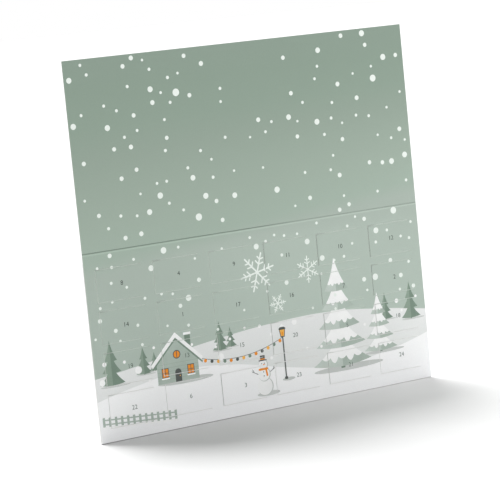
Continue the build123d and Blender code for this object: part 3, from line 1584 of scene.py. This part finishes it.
@dataclass
class DoorNumbers:
    """The plain numbers printed on the doors.

    Attributes:
        size: The size of the type, whose figures are about 0.7 of it high.
        shift: How far right of the door's middle a number stands.
        ink: Its ink.
        sky_ink: Its ink on the sky, which darkens it.
        sky_from: The height from which a number stands on the sky.
        steps: How finely the figures' curves are cut into straight steps.
        least_area: The area below which a splinter of a figure is left out.
        room: The radius round a number that the snow keeps off, as a share of the size.
    """

    size: float = 3.35
    shift: float = 1.2
    ink: Ink = Ink.NUMBER
    sky_ink: Ink = Ink.SKY_NUMBER
    sky_from: float = 48.0
    steps: int = 3
    least_area: float = 0.0002
    room: float = 0.75

    def shapes(self, door: Door) -> Iterator[Shape]:
        """Sets a door's number.

        Args:
            door: The door.

        Yields:
            The figures, triangle by triangle.
        """
        bpy.ops.object.select_all(action="DESELECT")
        bpy.ops.object.text_add()
        text = bpy.context.object.data
        text.body = str(int(door.label))
        text.size = self.size
        text.align_x = text.align_y = "CENTER"
        text.resolution_u = self.steps
        bpy.ops.object.convert(target="MESH")
        figures = bpy.context.object.data
        x, z = door.middle
        ink = self.sky_ink if z > self.sky_from else self.ink
        for polygon in figures.polygons:
            if polygon.area >= self.least_area:
                points = [figures.vertices[index].co for index in polygon.vertices]
                yield Shape(ink, [(x + self.shift + point.x, z + point.y) for point in points])
        bpy.ops.object.delete()

    def rooms(self, doors: Iterable[Door]) -> Iterator[tuple[Point, float]]:
        """Gives the place of each number and the radius round it that the snow keeps off."""
        for x, z in (door.middle for door in doors):
            yield (x + self.shift, z), self.size * self.room


@dataclass
class FrontPrint:
    """All that is printed over the sky and the hills on the front of the sheet.

    Attributes:
        motifs: The motifs on the lower leaf, from the furthest to the nearest.
        snow: The falling snow.
        snow_free: Places that the snow keeps off, each with its radius.
        numbers: The doors' numbers.
    """

    motifs: tuple = (
        Flake(-2, 75, 10.5, turn=12),
        Flake(30, 72, 7.2, turn=30),
        Flake(9, 56.5, 5.0, turn=4),
        Fir(-95, 29, 24, 7.4),
        Fir(-76, 32, 15, 4.8),
        Fir(-69.5, 33, 10, 3.4),
        Fir(-29, 37, 16, 5.0),
        Fir(-22.5, 38, 11, 3.6),
        Fir(78, 37, 15, 4.8),
        Fir(95, 35, 21, 6.4),
        Fir(47, 15, 61, 19.0, tiers=5, needles=Ink.PALE, shade=Ink.PALE_SHADE, snowy=True),
        Fir(73, 20, 33, 11.0, tiers=4, needles=Ink.PALE, shade=Ink.PALE_SHADE, snowy=True),
        Cottage(-56, 25),
        Lantern(10, 15),
        LightString((-41, 34.6), (10, 38), sag=4.5, lamps=13),
        Snowman(-4, 9),
        Fence((-102.5, 8.2), (-60, 5.2), pickets=13),
    )
    snow: tuple[Snowfall, ...] = (
        Snowfall(bottom=101.0, top=196.0, spots=116, spacing=5.4, seed=24),
        Snowfall(bottom=47.0, top=97.0, spots=66, spacing=5.4, seed=7),
        Snowfall(bottom=26.0, top=47.0, spots=24, spacing=6.0, seed=12, ink=Ink.SNOW),
    )
    snow_free: tuple[tuple[Point, float], ...] = (
        ((-56, 33), 12.0),
        ((10, 41), 4.5),
        ((-4, 18), 10.0),
        ((-2, 75), 10.5),
        ((30, 72), 7.5),
        ((9, 56.5), 5.0),
        ((-18, 31), 3.0),
    )
    numbers: DoorNumbers = field(default_factory=DoorNumbers)

    def build(self, sheet: Sheet, inks: InkBox) -> None:
        """Prints the front: one film on the leaf, one on the panel and one on each door.

        Args:
            sheet: The sheet's layout.
            inks: The inks' materials.
        """
        shapes = [shape for motif in self.motifs for shape in motif.shapes()]
        rooms = [*self.numbers.rooms(sheet.doors), *self.snow_free]
        for fall in self.snow:
            shapes += fall.shapes(sheet, rooms)
        for door in sheet.doors:
            shapes += self.numbers.shapes(door)
        films = [
            InkFilm("leaf_print", "upper_leaf", "printed_card", sheet.face, sheet),
            InkFilm("panel_print", "calendar", "printed_card", sheet.face, sheet),
        ]
        for door in sheet.doors:
            films.append(InkFilm(f"{door.piece}_print", door.piece, "door_card", sheet.face, sheet))
        press(shapes, self.patches(sheet), films)
        for film in films:
            if film.triangles:
                film.lay(inks)

    def patches(self, sheet: Sheet) -> list[Patch]:
        """Divides the front among the leaf, the panel, the bare cuts and the doors.

        Args:
            sheet: The sheet's layout.

        Returns:
            The parts, each over the ones before it.
        """
        margin = sheet.film_margin
        side, groove = sheet.half_width - margin, sheet.crease_half_width + margin
        parts = [
            Patch("leaf_print", block(0, side, sheet.crease + groove, sheet.top - margin)),
            Patch("panel_print", block(0, side, sheet.fold + margin, sheet.crease - groove)),
        ]
        rolled = sheet.edge_roll + margin / 3
        for door in sheet.doors:
            parts.append(Patch("", door.outline(sheet.slit + rolled, margin)))
            parts.append(Patch(f"{door.piece}_print", door.outline(-rolled, -margin)))
        return parts


@dataclass
class HiddenPictures:
    """The pictures on the panel behind the doors.

    Attributes:
        beyond: How far a picture's ground reaches past its door. Below zero, it stays within it.
        step: How far each door's picture is down the list from the one before.
    """

    beyond: float = -1.2
    step: int = 5

    def build(self, sheet: Sheet, inks: InkBox) -> None:
        """Prints the pictures in one film.

        Args:
            sheet: The sheet's layout.
            inks: The inks' materials.
        """
        pictures = list(Picture)
        shapes: list[Shape] = []
        for number, door in enumerate(sheet.doors):
            shapes += pictures[number * self.step % len(pictures)].shapes(door, self.beyond)
        grounds = (door.outline(self.beyond, self.beyond) for door in sheet.doors)
        parts = [Patch("pictures_print", ground) for ground in grounds]
        film = InkFilm("pictures_print", "calendar", "picture_card", sheet.picture_face, sheet)
        press(shapes, parts, [film])
        film.lay(inks)


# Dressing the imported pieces


@dataclass
class CardStock:
    """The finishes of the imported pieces.

    Attributes:
        printed: The card of the leaf, the door panel and the doors.
        bare: The card of the picture panel.
        glue: The film of glue.
    """

    printed: PrintedCard = PrintedCard()
    bare: BareCard = BareCard()
    glue: GlueFinish = GlueFinish()

    def dress(self, sheet: Sheet) -> None:
        """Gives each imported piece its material.

        Args:
            sheet: The sheet's layout.
        """
        printed = self.printed.material("printed_front", sheet)
        special = {
            "picture_panel": self.bare.material("bare_card"),
            "glue_film": self.glue.material("dried_glue"),
        }
        for name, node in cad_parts.items():
            material = special.get(name, printed)
            if not node.material_slots:
                node.data.materials.append(material)
            for place in node.material_slots:
                place.material = material
            log.info("%s: %s", name, material.name)


# Studio


@dataclass(frozen=True)
class FloorFinish:
    """A pale, faintly clouded studio floor, which the lamps turn white where no shadow lies on it."""

    colour: Colour = (214, 214, 214)
    lighter: Colour = (216, 216, 216)
    cloud_size: float = 60.0

    def material(self, name: str) -> bpy.types.Material:
        """Makes the material.

        Args:
            name: The material's name.

        Returns:
            The material.
        """
        finish = Finish(name)
        tone = finish.span(finish.noise(self.cloud_size), 0.3, 0.7)
        colour = finish.mix(tone, self.colour, self.lighter)
        return finish.end(finish.add("ShaderNodeBsdfDiffuse", {"Color": colour}))


class LampKind(Enum):
    """The kinds of lamps, each with the name of the setting that holds its size."""

    SUN = "angle"
    AREA = "size"
    POINT = "shadow_soft_size"


class Lit(Enum):
    """What a lamp lights, with the floor's state in the lamp's list."""

    FLOOR = "INCLUDE"
    ALL_BUT_FLOOR = "EXCLUDE"


@dataclass(frozen=True)
class Lamp:
    """A lamp of the studio.

    Attributes:
        name: Its name.
        kind: Its kind.
        power: Its power in watts, or the strength of a sun.
        size: Its size in metres, or the width of a sun's disc in radians.
        place: Where it is, in metres, or the direction that a sun shines from.
        lit: What it lights.
        target: What it points at.
    """

    name: str
    kind: LampKind
    power: float
    size: float
    place: tuple[float, float, float]
    lit: Lit
    target: tuple[float, float, float] = (0.0, 0.0, 0.0)

    def hang(self, floor: bpy.types.Object) -> None:
        """Hangs the lamp.

        Args:
            floor: The floor.
        """
        bpy.ops.object.light_add(type=self.kind.name, location=self.place)
        lamp = bpy.context.object
        lamp.name = self.name
        lamp.rotation_mode = "QUATERNION"
        lamp.rotation_quaternion = (Vector(self.place) - Vector(self.target)).to_track_quat("Z", "Y")
        lamp.visible_camera = self.kind is not LampKind.POINT
        lamp.data.energy = self.power
        setattr(lamp.data, self.kind.value, self.size)
        if self.kind is LampKind.AREA:
            lamp.data.shape = "DISK"
        receivers = bpy.data.collections.new(f"{self.name}_receivers")
        receivers.objects.link(floor)
        receivers.collection_objects[0].light_linking.link_state = self.lit.value
        lamp.light_linking.receiver_collection = receivers
        log.info("lamp: %s", self.name)


@dataclass
class Studio:
    """The floor and the light.

    Attributes:
        floor_size: The width of the floor in metres.
        sky: The strength of the light from all round.
        lamps: The soft sun behind the card, which gives the floor the card's shadow, the broad panel
            of light low in front of the card, screened from the floor, and a small lamp that softens
            the right end of the shadow.
    """

    floor_size: float = 40.0
    sky: float = 0.5
    lamps: tuple[Lamp, ...] = (
        Lamp("key", LampKind.SUN, 4.76, math.radians(39.1), (-0.02682, 0.548367, 0.835807), Lit.FLOOR),
        Lamp("fill", LampKind.AREA, 3.3, 0.5, (0.42, -0.82, 0.05), Lit.ALL_BUT_FLOOR, (0.0, 0.0, 0.09)),
        Lamp("glow", LampKind.POINT, 0.384, 0.02, (0.129, -0.068, 0.145), Lit.FLOOR),
    )

    def build(self) -> None:
        """Sets up the floor, the world and the lamps."""
        bpy.context.scene.view_settings.view_transform = "Standard"
        bpy.ops.object.select_all(action="DESELECT")
        bpy.ops.mesh.primitive_plane_add(size=self.floor_size)
        floor = bpy.context.object
        floor.name = "studio_floor"
        floor.data.materials.append(FloorFinish().material("studio_floor"))
        floor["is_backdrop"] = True
        self.light_world()
        for lamp in self.lamps:
            lamp.hang(floor)
        log.info("studio: floor, world and lamps")

    def light_world(self) -> None:
        """Fills the world with soft light and shows it as white."""
        world = bpy.data.worlds.new("studio")
        world.use_nodes = True
        bpy.context.scene.world = world
        nodes = Nodes(world.node_tree)
        rays = nodes.add("ShaderNodeLightPath").outputs
        mirrored = nodes.sum("MAXIMUM", rays["Is Glossy Ray"], rays["Is Transmission Ray"])
        seen = nodes.sum("MAXIMUM", rays["Is Camera Ray"], mirrored)
        strength = nodes.add("ShaderNodeMapRange", {0: seen, "To Min": self.sky})
        background = nodes.tree.nodes["Background"]
        background.inputs["Color"].default_value = (1.0, 1.0, 1.0, 1.0)
        nodes.tree.links.new(strength.outputs[0], background.inputs["Strength"])


@dataclass
class Viewpoint:
    """The camera's place round the calendar.

    Attributes:
        azimuth: Its direction in degrees, from straight in front towards the right.
        elevation: Its height over the target in degrees.
        roll: How far it is turned about its line of sight, in degrees.
        distance: Its distance from the target in metres.
        target: The point that it looks at.
        lens: The lens's focal length in millimetres.
        sensor: The width of the sensor in millimetres.
        near: The distance in metres from which it sees.
    """

    azimuth: float = -30.9906
    elevation: float = 6.1696
    roll: float = -5.6413
    distance: float = 1.24958
    target: tuple[float, float, float] = (-0.004827, 0.0, 0.087406)
    lens: float = 168.7404
    sensor: float = 36.0
    near: float = 0.05

    def build(self) -> None:
        """Puts the camera up."""
        turns = ((self.azimuth, "Z"), (90 - self.elevation, "X"), (self.roll, "Z"))
        swing, tip, spin = (Matrix.Rotation(math.radians(angle), 3, axis) for angle, axis in turns)
        turn = swing @ tip @ spin
        bpy.ops.object.camera_add(location=Vector(self.target) + turn.col[2] * self.distance)
        camera = bpy.context.object
        camera.rotation_mode = "QUATERNION"
        camera.rotation_quaternion = turn.to_quaternion()
        camera.data.sensor_width = self.sensor
        camera.data.lens = self.lens
        camera.data.clip_start = self.near
        bpy.context.scene.camera = camera
        log.info("camera: %.3f m from the calendar", self.distance)


def write_sizes() -> None:
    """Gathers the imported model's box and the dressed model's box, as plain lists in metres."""
    boxes = {"cad": cad_box, "visual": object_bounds()}
    sizes = {name: [list(corner) for corner in box] for name, box in boxes.items()}


def main() -> None:
    """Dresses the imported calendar, prints it and sets it up in the studio."""
    logging.basicConfig(level=logging.INFO, format="%(message)s")
    Studio().build()
    Viewpoint().build()
    sheet = Sheet.measured()
    inks = InkBox()
    CardStock().dress(sheet)
    FrontPrint().build(sheet, inks)
    HiddenPictures().build(sheet, inks)
    write_sizes()


if __name__ == "__main__":
    main()
